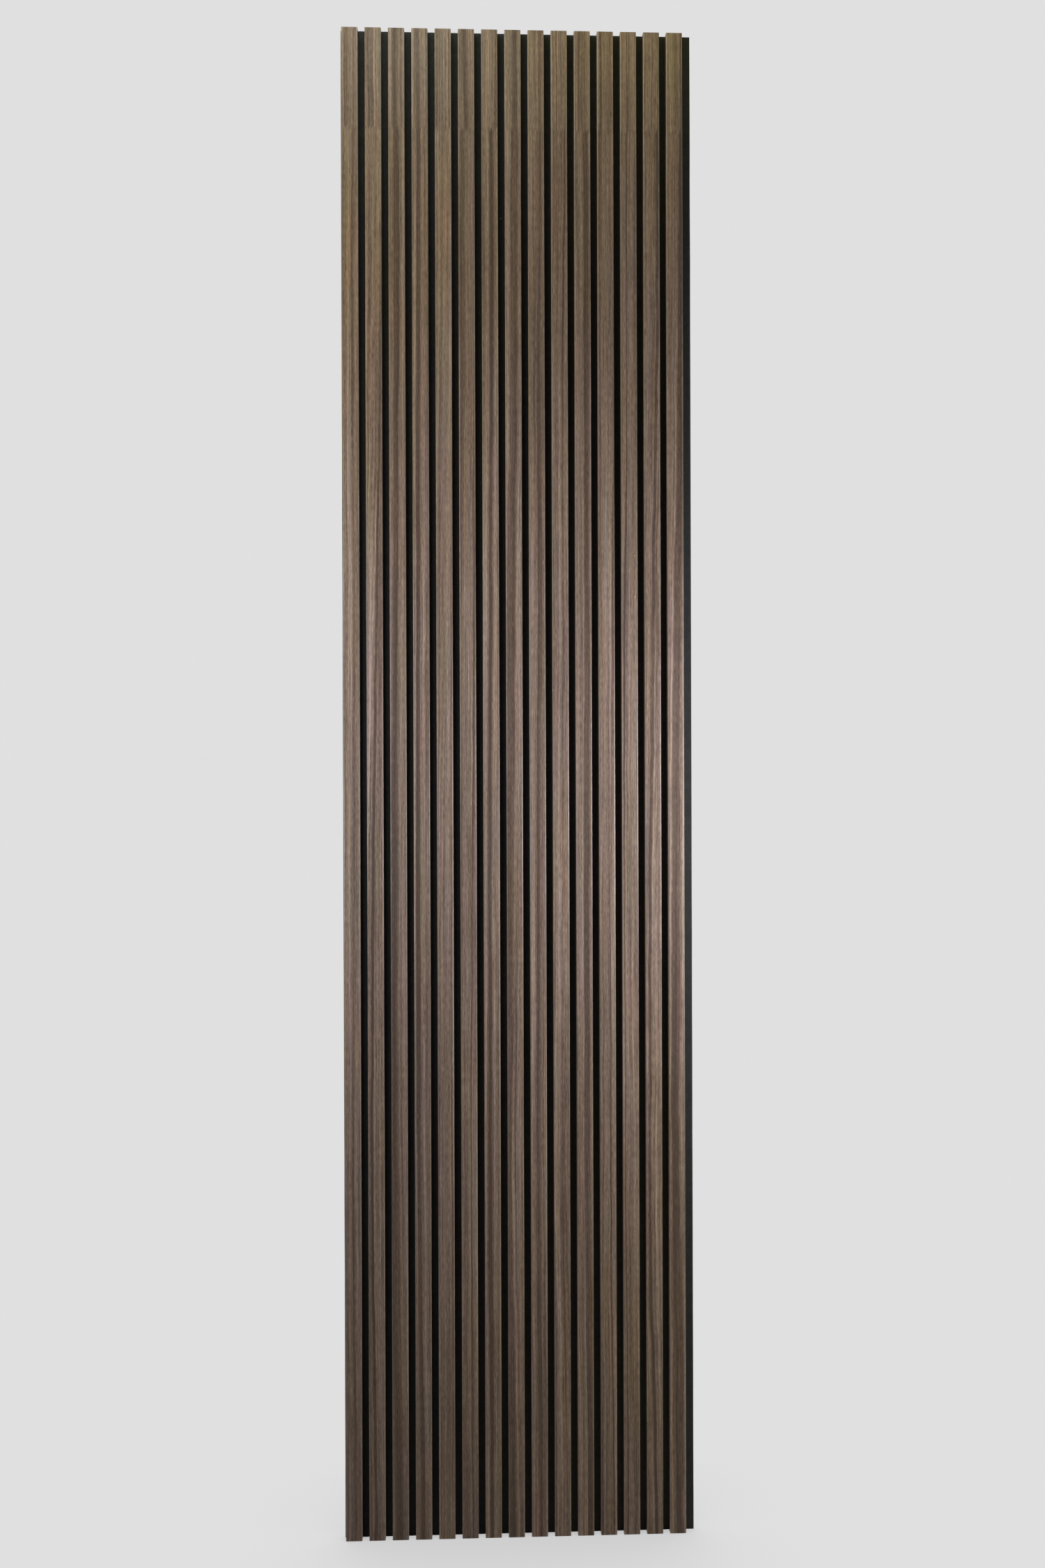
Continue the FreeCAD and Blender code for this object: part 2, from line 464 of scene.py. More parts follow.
def closed_sweep(points, open_start=False):
    """Quads of a closed tube, or of one that is open at its start.

    `points` is rows x ring x 3, with an even ring that turns anticlockwise as seen along the rows from
    the far end. An end is closed by a strip of quads that joins the first half of its ring to the second
    half, taken backwards.
    """
    rows, ring = points.shape[:2]
    index = np.arange(rows * ring).reshape(rows, ring)
    following = np.roll(index, -1, axis=1)
    sides = np.stack([index[:-1], following[:-1], following[1:], index[1:]], axis=-1).reshape(-1, 4)
    step = np.arange(ring // 2 - 1)
    strip = np.stack([step, step + 1, ring - 2 - step, ring - 1 - step], axis=-1)
    ends = [index[-1][strip]] if open_start else [index[0][strip[:, ::-1]], index[-1][strip]]
    return np.concatenate([sides, *ends])


def new_piece(name, points, quads, material, sharp_angle=SHARP_ANGLE):
    """An object at the origin from points and quads, smooth but for edges sharper than the angle."""
    mesh = bpy.data.meshes.new(name)
    mesh.vertices.add(points.size // 3)
    mesh.vertices.foreach_set("co", np.ascontiguousarray(points, dtype=np.float32).ravel())
    mesh.loops.add(quads.size)
    mesh.loops.foreach_set("vertex_index", quads.ravel().astype(np.int32))
    mesh.polygons.add(len(quads))
    mesh.polygons.foreach_set("loop_start", np.arange(0, quads.size, 4, dtype=np.int32))
    mesh.polygons.foreach_set("use_smooth", np.ones(len(quads), dtype=bool))
    mesh.update(calc_edges=True)
    if mesh.validate():
        raise RuntimeError(f"the mesh of {name} has faulty faces")
    mesh.set_sharp_from_angle(angle=math.radians(sharp_angle))
    mesh.materials.append(material)
    piece = bpy.data.objects.new(name, mesh)
    bpy.context.scene.collection.objects.link(piece)
    return piece


def copies(points, quads, places):
    """The same small shape at several places, as one set of points and quads."""
    every_point = points.reshape(1, -1, 3) + places[:, None, :]
    every_quad = quads[None] + (np.arange(len(places)) * points.reshape(-1, 3).shape[0])[:, None, None]
    return every_point.reshape(-1, 3), every_quad.reshape(-1, 4)


def add_uv(piece, name, corners):
    """A UV map from one pair of numbers for each face corner."""
    layer = piece.data.uv_layers.new(name=name)
    layer.uv.foreach_set("vector", np.ascontiguousarray(corners, dtype=np.float32).ravel())


def add_attribute(piece, name, values):
    """A number for each vertex, which the material reads by name."""
    layer = piece.data.attributes.new(name, "FLOAT", "POINT")
    layer.data.foreach_set("value", np.ascontiguousarray(values, dtype=np.float32).ravel())


# Veneer wraps

SIDE_STEPS = 4
ARRIS_STEPS = 4
FACE_STEPS = 36
BAKE_COLUMNS = 7            # the long strip is folded into columns on its texture
ROWS_A_COLUMN = 18
BAKE_MARGIN = 0.012         # clear share of a column at each of its sides
BAKE_TOP = 0.965            # the columns' height on the texture; the ends' strips lie above it
OUTSIDE_SHARE = 0.92        # share of a column's width that the outside of the wrap takes
END_STRIP = (0.008, 0.028)  # where the strips of the ends begin and stop, over the columns' top
END_LENGTH = 0.46           # length of such a strip on the texture
END_STEP = 0.5              # from the top end's strip to the bottom end's
ARRIS_MIDDLE = 0.3          # middle of the arris band, in arris radii from the slat's side, where its painted highlight and coat are strongest
ARRIS_SPREAD = 0.6          # how far the band fades from there, in arris radii
ARRIS_DEPTH = 1.2           # how far it reaches down the side, in arris radii
LEAF_STEP = 3               # slat widths from a slat's place on the grain's pattern to the next one's


def slat_outline(left, right, back, front, radius):
    """Outline of a slat from the felt round both arrises and back to the felt, as x and y.

    Straight up the left side, a quarter circle, straight across the face, a quarter circle, and straight
    down the right side. Two outlines with the same steps match point by point.
    """
    turn = np.linspace(0.0, np.pi / 2, ARRIS_STEPS + 1)
    side = np.linspace(back, front + radius, SIDE_STEPS + 1)[:-1]
    face = np.linspace(left + radius, right - radius, FACE_STEPS + 1)[1:-1]
    x = np.concatenate([
        np.full_like(side, left),
        left + radius - radius * np.cos(turn),
        face,
        right - radius + radius * np.sin(turn),
        np.full_like(side, right),
    ])
    y = np.concatenate([
        side,
        front + radius - radius * np.sin(turn),
        np.full_like(face, front),
        front + radius - radius * np.cos(turn),
        side[::-1],
    ])
    return x, y


def grain_wander(index, heights, seed):
    """Sideways drift of a slat's grain, in hundredths of its face.

    It is a sum of sine waves of chance phase along the slat, each as strong as the root of its length.
    """
    chance = np.random.default_rng([seed, index])
    waves = np.array(WANDER_WAVES) * chance.uniform(*WAVE_SPREAD, len(WANDER_WAVES))
    phases = chance.uniform(0.0, 2 * np.pi, len(WANDER_WAVES))
    reach = np.sqrt(waves / waves[0])
    drift = (reach * np.sin(2 * np.pi * heights[:, None] / waves + phases)).sum(axis=1)
    return WANDER.get(index, STRAIGHT_WANDER) * drift


def along_marks(values, marks, heights):
    """A streak's number at each height: straight from mark to mark, rounded by a running mean."""
    values = np.atleast_1d(values)
    places = np.linspace(*marks, len(values))
    spread = np.linspace(-MARK_ROUNDING, MARK_ROUNDING, ROUNDING_STEPS)
    return np.interp(heights[:, None] + spread, places[::-1], values[::-1]).mean(axis=1)[:, None]


def streak_depths(streaks, marks, across, heights):
    """Darkness of a leaf from its marked streaks.

    A streak is about as dark all over its width and falls off past its edges as exp(-d^4), where d is the
    distance from its middle as a share of its half width. Its lean tilts the darkness in between.
    """
    depth = np.zeros_like(across)
    for streak in streaks:
        half = along_marks(streak.width, marks, heights) / 2
        off = (across - along_marks(streak.places, marks, heights)) / half
        lean = 1 + streak.lean * HUNDREDTH * off
        depth += along_marks(streak.depth, marks, heights) * HUNDREDTH * lean * np.exp(-off ** 4)
    return depth


def bake_corners(distance, rows):
    """Where each face corner of a wrap lies on its texture.

    The strip is cut across into columns that stand side by side. In a column the outside of the wrap
    takes most of the width, and its inside, which only the ends show, takes the rest. The two end strips
    lie in a line above the columns.
    """
    points = len(distance)
    progress = distance / distance[-1]
    inside_start = (1.0 + OUTSIDE_SHARE) / 2
    inside = inside_start + (1.0 - OUTSIDE_SHARE) / 4 * progress
    ring = np.concatenate([OUTSIDE_SHARE * progress, inside, [1.0]])
    row = np.arange(rows)
    column = row // ROWS_A_COLUMN
    u = ring * (1 - 2 * BAKE_MARGIN) + BAKE_MARGIN
    u = (column[:, None] + u[None, :]) / BAKE_COLUMNS
    low = (row - column * ROWS_A_COLUMN) / ROWS_A_COLUMN
    v = np.stack([low, low + 1.0 / ROWS_A_COLUMN]) * (BAKE_TOP - 2 * BAKE_MARGIN) + BAKE_MARGIN
    shape = (rows, 2 * points)
    side_u = np.stack([u[:, :-1], u[:, 1:], u[:, 1:], u[:, :-1]], axis=-1)
    side_v = np.stack([np.broadcast_to(v[k][:, None], shape) for k in (0, 0, 1, 1)], axis=-1)
    sides = np.stack([side_u, side_v], axis=-1).reshape(-1, 2)
    near, far = BAKE_TOP + np.array(END_STRIP)
    along = BAKE_MARGIN + END_LENGTH * progress
    strip_u = np.stack([along[:-1], along[1:], along[1:], along[:-1]], axis=-1)
    strip_v = np.broadcast_to(np.array([near, near, far, far]), strip_u.shape)
    top = np.stack([strip_u, strip_v], axis=-1)
    bottom = np.stack([strip_u + END_STEP, strip_v], axis=-1)[:, ::-1]
    return np.concatenate([sides, bottom.reshape(-1, 2), top.reshape(-1, 2)])


def build_wrap(index, settings, seed, material):
    """The veneer of one slat: the outline of its outside and of its inside, carried along the slat."""
    low, high = WRAPS[index]
    thickness = VENEER_THICKNESS
    radius = settings.arris_radius
    x, y = slat_outline(low[0], high[0], high[1], low[1], radius)
    inner_x, inner_y = slat_outline(low[0] + thickness, high[0] - thickness, high[1], low[1] + thickness,
                                    radius - thickness)
    ring_x = np.concatenate([x, inner_x[::-1]])
    ring_y = np.concatenate([y, inner_y[::-1]])
    rows = BAKE_COLUMNS * ROWS_A_COLUMN
    heights = np.linspace(low[2], high[2], rows + 1)
    points = surface(ring_x, ring_y, heights[:, None])
    quads = closed_sweep(points)
    piece = new_piece(f"smoked_veneer_{index + 1:02d}", points, quads, material)

    distance = np.concatenate([[0.0], np.cumsum(np.hypot(np.diff(x), np.diff(y)))])
    unrolled = np.concatenate([distance, distance[::-1]])
    face_start = (distance[-1] - SLAT_WIDTH) / 2
    across = (unrolled[None, :] - face_start) / (HUNDREDTH * SLAT_WIDTH)
    across = across + grain_wander(index, heights, seed)[:, None]
    add_attribute(piece, "long_leaf", streak_depths(LONG_LEAVES[index], LONG_MARKS, across, heights))
    add_attribute(piece, "short_leaf", streak_depths(SHORT_LEAVES[index], SHORT_MARKS, across, heights))
    add_attribute(piece, "figure", np.full(points.shape[:2], FIGURE.get(index, PLAIN_FIGURE)))
    # The arris band carries the extra coat on the edges and a painted highlight in the veneer's colour.
    from_side = np.minimum(ring_x - low[0], high[0] - ring_x) / radius
    arris = np.exp(-((from_side - ARRIS_MIDDLE) / ARRIS_SPREAD) ** 2)
    arris = arris * (ring_y < low[1] + ARRIS_DEPTH * radius)
    add_attribute(piece, "arris", np.broadcast_to(arris, points.shape[:2]))

    drift = GRAIN_FOLLOWS * along_marks(LONG_LEAVES[index][0].places, LONG_MARKS, heights)
    leaf = ((across - drift) * HUNDREDTH + index * LEAF_STEP) * SLAT_WIDTH
    grain = np.stack([leaf, np.broadcast_to(heights[:, None], leaf.shape)], axis=-1).reshape(-1, 2)
    add_uv(piece, "grain", grain[quads.ravel()])
    add_uv(piece, "OFBake", bake_corners(distance, rows))
    return piece


# Kinds of grain: how often each comes in a metre across and along the leaf, how finely it is broken up, and
# how strong it is. The first two shift the fibres sideways, in metres, the next six change the tone, and
# the vessels darken the leaf where they are cut open.
Grain = namedtuple("Grain", "across along detail strength roughness", defaults=(0.5,))
SWAY = Grain(12, 2.4, 1.0, 3.0 * MM)
SHIVER = Grain(60, 9, 2.0, 1.3 * MM)
BAND = Grain(120, 0.7, 2.0, 0.46)
LINE = Grain(320, 1.8, 2.0, 0.74, roughness=0.55)
DASH = Grain(560, 14, 1.0, 0.44)
HAIR = Grain(1000, 85, 2.0, 0.66)
PATCH = Grain(30, 1.1, 1.0, 0.32)
CURL = Grain(120, 26, 2.0, 0.60)
VESSEL = Grain(2600, 60, 1.0, 0.42)
PORE_EDGE = (0.12, 0.22)    # where the noise of the vessels begins to be a pore, and is wholly one

# Slow drifts of the leaf's colour along its fibres: how often they come in a metre across and along it, how
# far their noise is shifted, and the two tints that they run between.
Drift = namedtuple("Drift", "across along shift tints")
DRIFTS = [
    Drift(210, 3.5, 7.3, ((0.94, 1.0, 1.0), (1.065, 1.0, 1.0))),
    Drift(150, 2.6, 3.1, ((1.0, 1.0, 0.92), (1.0, 1.0, 1.095))),
]
DRIFT_EDGE = 0.2            # noise at which a drift has reached a tint, on either side of 0

GROUND_TONE = 0.53          # tone of the leaf between its streaks
PAINTED_ARRIS_HIGHLIGHT = 0.05           # how much lighter the arris is painted: a painted highlight along the slats' rounded edges
GLUE_TONE = 0.10            # how much darker the splice's glue line is
GLUE_LINE = (0.1 * MM, 0.9 * MM)    # from the splice to where the glue line begins to fade, and is gone
SPLICE_EDGE = 0.25 * MM
SHORT_LEAF_SHIFT = 0.913    # from the long leaf to the short one on the grain's pattern


def grain_noise(shader, kind, across, along):
    """The noise of one kind of grain, stretched along the leaf."""
    place = shader.vector(across * kind.across, along * kind.along)
    return shader.noise(place, detail=kind.detail, roughness=kind.roughness)


def veneer_material(settings):
    """Smoked veneer: marked streaks, soft bands, fine lines and open pores along the grain.

    The tone is the ground, less the marked streaks, plus noise stretched along the grain at several widths
    and the curl of a figured leaf. A ramp turns the tone into colour. The toothed splice shifts the grain
    to another leaf above it.
    """
    material, shader = new_material("smoked_veneer")
    across, along = shader.uv("grain")
    arris = shader.attribute("arris")

    half_tooth = settings.tooth_width / 2
    tooth = shader.math("PINGPONG", across, half_tooth) / half_tooth - 0.5
    over_splice = along - settings.splice_height - tooth * settings.tooth_height
    short_leaf = shader.step(over_splice, -SPLICE_EDGE, SPLICE_EDGE)
    glue_line = 1 - shader.step(abs(over_splice), *GLUE_LINE)
    leaf = across + short_leaf * SHORT_LEAF_SHIFT
    streaks = shader.attribute("long_leaf") * (1 - short_leaf) + shader.attribute("short_leaf") * short_leaf

    fibre = leaf
    for kind in (SWAY, SHIVER):
        fibre = fibre + grain_noise(shader, kind, leaf, along) * kind.strength
    line = grain_noise(shader, LINE, fibre, along)
    dash = grain_noise(shader, DASH, fibre, along)
    hair = grain_noise(shader, HAIR, fibre, along)
    pore = shader.step(grain_noise(shader, VESSEL, fibre, along), *PORE_EDGE)
    tone = GROUND_TONE - streaks * (1 + line * 0.7 + dash * 0.4) * settings.streak_depth
    tone = tone + grain_noise(shader, BAND, fibre, along) * BAND.strength
    tone = tone + line * LINE.strength + dash * DASH.strength + hair * HAIR.strength
    tone = tone + grain_noise(shader, PATCH, leaf, along) * PATCH.strength
    tone = tone + grain_noise(shader, CURL, fibre, along) * shader.attribute("figure") * CURL.strength
    # The arris is painted lighter as a painted highlight; the glue line is the splice's real dark joint.
    tone = tone + arris * PAINTED_ARRIS_HIGHLIGHT - glue_line * GLUE_TONE
    wood = shader.node("ShaderNodeValToRGB", {"stops": [
        (0.08, settings.darkest),
        (0.30, settings.dark),
        (0.50, settings.middle),
        (0.72, settings.light),
        (0.95, settings.lightest),
    ]}, {"Fac": tone})
    for drift in DRIFTS:
        place = shader.vector(fibre * drift.across + drift.shift, along * drift.along)
        reached = shader.step(shader.noise(place, detail=2.0), -DRIFT_EDGE, DRIFT_EDGE)
        wood = shader.mix(1.0, wood, shader.mix(reached, *drift.tints), blend="MULTIPLY")
    wood = shader.mix(pore * VESSEL.strength, wood, settings.darkest)
    shader.finish({
        "Base Color": wood,
        "Roughness": settings.roughness + pore * 0.12 - line * 0.14 + streaks * 0.04,
        "Specular IOR Level": 0.20,
        "Coat Weight": arris * 0.75,
        "Coat Roughness": 0.36,
        "Coat IOR": 1.75,
        "Normal": shader.bump(line * 0.6 + hair * 0.5 - pore * 0.9, settings.relief, 0.6),
    })
    return material


# Felt backing

GAP_LINES = (0.08, 0.28, 0.5, 0.72, 0.92)
CROWN_LINES = (-1.45, -1.15, -1.0, -0.8, 0.0, 0.8, 1.0, 1.15, 1.45)
SEAT_LINES_MM = (-6.0, -3.0, -1.6, -0.7, 0.0, 0.7, 1.6, 3.0, 6.0)
EDGE_LINES = (0.0, 0.06, 0.25, 0.55, 1.0)
LAST_STRIP_LINES = 5
ROW_SPACING = 0.065
LEAST_SPACING = 0.15 * MM
RAGGED_WAVES = 9            # waves in the stray line of a cut edge
RAGGED_LENGTHS = (0.02, 0.3)
RAGGED_REACH = 4            # how far in from an edge its stray is felt, in edge radii
FELT_SHARP_ANGLE = 60.0     # degrees
FibreLay = namedtuple("FibreLay", "turn scale")
FIBRE_LAYS = [
    FibreLay((0.4, 0.9, 0.3), (420.0, 2600.0, 2600.0)),
    FibreLay((0.9, -0.7, 0.6), (2600.0, 2600.0, 420.0)),
]


def spaced(values):
    """Sorted values without those that lie too close to the one before."""
    ordered = np.unique(values)
    return ordered[np.concatenate([[True], np.diff(ordered) > LEAST_SPACING])]


def felt_columns(radius):
    """Places of the felt's grid lines across: close at its edges, at each crown and over each gap."""
    middles = np.unique(STAPLES.seats[:, 0])
    crowns = middles[:, None] + np.array(CROWN_LINES) * STAPLES.crown_width / 2
    gaps = RIGHT_SIDES[:-1, None] + np.array(GAP_LINES) * SLAT_GAP
    sides = np.array([[low[0], high[0]] for low, high in WRAPS])
    edge = np.array(EDGE_LINES) * radius
    last_strip = np.linspace(RIGHT_SIDES[-1], FELT_HIGH[0] - radius, LAST_STRIP_LINES)
    return spaced(np.concatenate([crowns.ravel(), gaps.ravel(), sides.ravel(), last_strip,
                                  FELT_LOW[0] + edge, FELT_HIGH[0] - edge]))


def felt_rows(radius):
    """Heights of the felt's grid lines: close at its ends and at each staple."""
    heights = np.unique(np.round(STAPLES.seats[:, 1], 5))
    seats = heights[:, None] + np.array(SEAT_LINES_MM) * MM
    fill = np.arange(FELT_LOW[2] + ROW_SPACING, FELT_HIGH[2] - ROW_SPACING / 2, ROW_SPACING)
    edge = np.array(EDGE_LINES) * radius
    return spaced(np.concatenate([seats.ravel(), fill, FELT_LOW[2] + edge, FELT_HIGH[2] - edge]))


def edge_fall(places, low, high, radius):
    """How far a rounded edge has fallen at each place: a quarter circle within the radius of an end."""
    inwards = np.clip(np.minimum(places - low, high - places), 0.0, radius)
    return radius - np.sqrt(radius ** 2 - (radius - inwards) ** 2)


def staple_dimples(x, z, settings):
    """Depth of the rear face's dimples: exp(-d^2) of the distance from the nearest crown's line."""
    along = np.maximum(np.abs(x[None, :, None] - STAPLES.seats[:, 0]) - STAPLES.crown_width / 2, 0.0)
    off = np.abs(z[:, None, None] - STAPLES.seats[:, 1])
    nearest = np.hypot(along, off).min(axis=-1)
    return settings.dimple_depth * np.exp(-(nearest / settings.dimple_reach) ** 2)


def build_felt(settings, seed, material):
    """The felt board: one grid for its front, swelling between slats, and one for its dimpled rear.

    A row's ring is the front from left to right and then the rear from right to left. Both faces fall
    away as a quarter circle towards the board's edges, whose line strays a little, as a cut edge does.
    """
    radius = settings.edge_radius
    x = felt_columns(radius)
    z = felt_rows(radius)
    fall = np.maximum(edge_fall(x, FELT_LOW[0], FELT_HIGH[0], radius)[None, :],
                      edge_fall(z, FELT_LOW[2], FELT_HIGH[2], radius)[:, None])
    gap_middles = RIGHT_SIDES[:-1] + SLAT_GAP / 2
    from_middle = np.abs(x[:, None] - gap_middles).min(axis=1) / (SLAT_GAP / 2)
    swell = settings.pillow * np.clip(1 - from_middle ** 2, 0.0, 1.0)
    front = FELT_LOW[1] + fall - swell[None, :]
    rear = FELT_HIGH[1] - fall - staple_dimples(x, z, settings)

    chance = np.random.default_rng(seed)
    waves = 2 * np.pi / chance.uniform(*RAGGED_LENGTHS, RAGGED_WAVES)
    phases = chance.uniform(0.0, 2 * np.pi, (2, RAGGED_WAVES))
    stray = settings.ragged * np.sin(z[:, None, None] * waves + phases).mean(axis=-1)
    reach = RAGGED_REACH * radius
    left_pull = np.clip(1 - (x - FELT_LOW[0]) / reach, 0.0, 1.0)
    right_pull = np.clip(1 - (FELT_HIGH[0] - x) / reach, 0.0, 1.0)
    places = x[None, :] + stray[:, :1] * left_pull[None, :] + stray[:, 1:] * right_pull[None, :]

    ring_x = np.concatenate([places, places[:, ::-1]], axis=1)
    ring_y = np.concatenate([front, rear[:, ::-1]], axis=1)
    points = surface(ring_x, ring_y, z[:, None])
    return new_piece("felt_board", points, closed_sweep(points), material, FELT_SHARP_ANGLE)


def felt_material(settings):
    """Pressed felt: matted fibres at three sizes, with paler loose ones, and a soft nap."""
    material, shader = new_material("black_felt")
    place = shader.place()
    clump = shader.noise(place, detail=2.0, dimensions="3D", scale=70.0)
    mat = shader.noise(place, detail=5.0, roughness=0.72, dimensions="3D", scale=620.0)
    strands = []
    for turn, scale in FIBRE_LAYS:
        lay = shader.node("ShaderNodeMapping", None, {"Vector": place, "Rotation": turn, "Scale": scale})
        strands.append(shader.noise(lay, detail=1.0, dimensions="3D"))
    loose = shader.step(shader.math("MAXIMUM", *strands), 0.10, 0.26)
    pale = loose * 0.38 + mat * 0.5 + clump * 0.35
    fibres = shader.mix(shader.step(pale, -0.15, 0.6), settings.ground, settings.fibre)
    shader.finish({
        "Base Color": fibres,
        "Roughness": 0.94 - loose * 0.08,
        "Specular IOR Level": 0.06,
        "Sheen Weight": 0.12,
        "Sheen Roughness": 0.6,
        "Normal": shader.bump(mat + loose * 0.5 + clump, 0.35 * MM, 0.8),
    })
    return material


# Staples

BEND_STEPS = 5
WIRE_EDGE = 0.3             # rounding of the flat wire's edges, as a share of its thickness
TIP_SIZE = 0.45             # thickness of a leg's tip, as a share of the wire's


def staple_wire(settings):
    """One staple about its seat: a flat wire's section carried along a U with two rounded bends.

    The path runs from the left tip along the leg, round a quarter circle, across the crown and down the
    right leg. The section is an eight-sided flat bar whose long side lies along the slat.
    """
    thickness = STAPLES.crown_outside - STAPLES.crown_inside
    radius = settings.bend_radius - thickness / 2
    half = (STAPLES.crown_width - thickness) / 2
    crown = (STAPLES.crown_outside + STAPLES.crown_inside) / 2
    turn = np.linspace(0.0, np.pi / 2, BEND_STEPS + 1)
    point_taper = np.array([STAPLES.tip, STAPLES.tip + thickness])
    left_x = -half + radius * (1 - np.cos(turn))
    bend_y = crown - radius * (1 - np.sin(turn))
    path_x = np.concatenate([[-half, -half], left_x, -left_x[::-1], [half, half]])
    path_y = np.concatenate([point_taper, bend_y, bend_y[::-1], point_taper[::-1]])
    angle = np.concatenate([[0.0, 0.0], turn, np.pi - turn[::-1], [np.pi, np.pi]])
    across = np.stack([-np.cos(angle), np.sin(angle)], axis=-1)
    tip_size = np.ones(len(path_x))
    tip_size[[0, -1]] = TIP_SIZE

    flat, edge = thickness / 2, WIRE_EDGE * thickness
    tall = STAPLES.height / 2
    outward = np.array([flat, flat, flat - edge, edge - flat, -flat, -flat, edge - flat, flat - edge])
    upward = np.array([edge - tall, tall - edge, tall, tall, tall - edge, edge - tall, -tall, -tall])
    offset = tip_size[:, None] * outward
    x = path_x[:, None] + across[:, :1] * offset
    y = path_y[:, None] + across[:, 1:] * offset
    points = surface(x, y, upward)
    return points, closed_sweep(points)


def build_staples(settings, material):
    """All staples, each the same wire at its own seat."""
    points, quads = staple_wire(settings)
    places = np.zeros((len(STAPLES.seats), 3))
    places[:, [0, 2]] = STAPLES.seats
    points, quads = copies(points, quads, places)
    return new_piece("staple_wires", points, quads, material)


def staple_material(settings):
    """Galvanised wire: drawn lines, dull bloom in patches."""
    material, shader = new_material("galvanised_wire")
    place = shader.place()
    bloom = shader.step(shader.noise(place, detail=3.0, dimensions="3D", scale=900.0), -0.12, 0.2)
    drawn = shader.node("ShaderNodeMapping", None, {"Vector": place, "Scale": (120.0, 120.0, 9000.0)})
    drawn = shader.noise(drawn, detail=1.0, dimensions="3D")
    shader.finish({
        "Base Color": shader.mix(bloom, settings.bright, settings.dull),
        "Metallic": 1.0,
        "Roughness": 0.30 + bloom * 0.22 + drawn * 0.12,
        "Normal": shader.bump(drawn, 0.02 * MM, 0.5),
    })
    return material


# Fibreboard cores

def fibreboard_material(settings):
    """Fibreboard: pale fibre flecks in a brown ground that darkens to the dense skins front and rear."""
    material, shader = new_material("fibreboard")
    place = shader.place()
    depth = shader.node("ShaderNodeSeparateXYZ", None, {0: place}, output=1)
    low, high = CORES[0][0][1], CORES[0][1][1]
    half = (high - low) / 2
    off_middle = abs(depth - (low + high) / 2) / half
    skin = shader.step(off_middle, 0.45, 1.0)
    fibre = shader.noise(place, detail=4.0, roughness=0.7, dimensions="3D", scale=900.0)
    bundle = shader.step(shader.noise(place, detail=2.0, dimensions="3D", scale=480.0), 0.06, 0.24)
    board = shader.mix(skin * 0.8 - fibre * 0.9, settings.ground, settings.skin)
    board = shader.mix(bundle * 0.6, board, settings.fleck)
    shader.finish({"Base Color": board, "Roughness": 0.88, "Specular IOR Level": 0.2})
    return material


# Lint

LintPlace = namedtuple("LintPlace", "slat across height on_felt turn")
LINT_PLACES = [
    LintPlace(slat=6, across=1.20, height=0.980, on_felt=True, turn=0.5),
    LintPlace(slat=9, across=0.02, height=0.163, on_felt=False, turn=2.0),
    LintPlace(slat=12, across=0.82, height=0.395, on_felt=False, turn=1.2),
    LintPlace(slat=12, across=0.83, height=0.324, on_felt=False, turn=3.6),
]
LINT_STEPS = 12
LINT_SIDES = 6
LINT_SWEEP = 4 * np.pi / 3  # how much of a circle one curl makes
LINT_END = 0.35             # thickness that the taper leaves, as a share of the whole
LINT_TAPER = 0.12           # where on half a sine wave the taper starts
LINT_LIFT = 0.4             # from the surface to the curl's middle line, in thicknesses


def lint_curl(settings, turn):
    """One curl of lint about its middle: a round section carried along two thirds of a small circle.

    The section is thickest half way along and tapers to both ends as half a sine wave does.
    """
    sweep = np.linspace(0.0, LINT_SWEEP, LINT_STEPS + 1)
    radius = settings.length / LINT_SWEEP
    wave = np.sin(np.linspace(LINT_TAPER, np.pi - LINT_TAPER, LINT_STEPS + 1))
    taper = LINT_END + (1 - LINT_END) * wave
    around = np.arange(LINT_SIDES) * 2 * np.pi / LINT_SIDES
    thick = settings.thickness / 2 * taper[:, None]
    out = np.stack([np.cos(sweep + turn), np.sin(sweep + turn)], axis=-1)
    reach = radius + thick * np.cos(around)
    return surface(out[:, :1] * reach, thick * np.sin(around), out[:, 1:] * reach)


def build_lint(settings, material):
    """The specks of lint, each a curl lying on the felt or on a slat's face."""
    every_point, every_quad = [], []
    for number, spot in enumerate(LINT_PLACES):
        low, high = WRAPS[spot.slat]
        surface = FELT_LOW[1] if spot.on_felt else low[1]
        lifted = surface - LINT_LIFT * settings.thickness
        middle = np.array([low[0] + spot.across * SLAT_WIDTH, lifted, spot.height])
        points = lint_curl(settings, spot.turn) + middle
        every_quad.append(closed_sweep(points) + number * points.shape[0] * points.shape[1])
        every_point.append(points.reshape(-1, 3))
    return new_piece("lint_specks", np.concatenate(every_point), np.concatenate(every_quad), material)


def lint_material(settings):
    """Pale lint, matt all over."""
    material, shader = new_material("pale_lint")
    shader.finish({"Base Color": (*settings.colour, 1.0), "Roughness": 0.95, "Specular IOR Level": 0.1})
    return material


# Stage

Lamp = namedtuple("Lamp", "name place target size colour")
LAMPS = [
    Lamp("key", (0.85, -0.45, -0.05), (0.0, 0.0, -0.05), 0.45, (0.94, 0.965, 1.0)),
    Lamp("fill", (-0.75, -0.6, 0.15), (0.0, 0.0, 0.15), 0.8, (0.885, 0.945, 1.0)),
    Lamp("upper", (-0.85, -0.45, 0.85), (0.0, 0.0, 0.85), 0.45, (1.0, 0.80, 0.04)),
    Lamp("top", (-0.3, -0.28, 1.53), (-0.3, 0.0, 1.0), 0.5, (0.93, 1.0, 0.84)),
    Lamp("warm", (0.3, -0.27, 1.53), (0.3, 0.0, 1.0), 0.5, (1.0, 0.97, 0.42)),
    Lamp("low", (0.45, -0.65, -1.0), (0.1, 0.0, -1.0), 0.45, (1.0, 0.88, 0.10)),
    Lamp("back", (0.9, 1.7, 0.9), (0.0, 0.0, 0.1), 1.4, (1.0, 0.98, 0.96)),
]
FLOOR_DROP = 0.5 * MM       # how far the floor lies under the panel's foot
FLOOR_RADIUS = 12.0
FLOOR_RINGS = 8
FLOOR_SIDES = 64


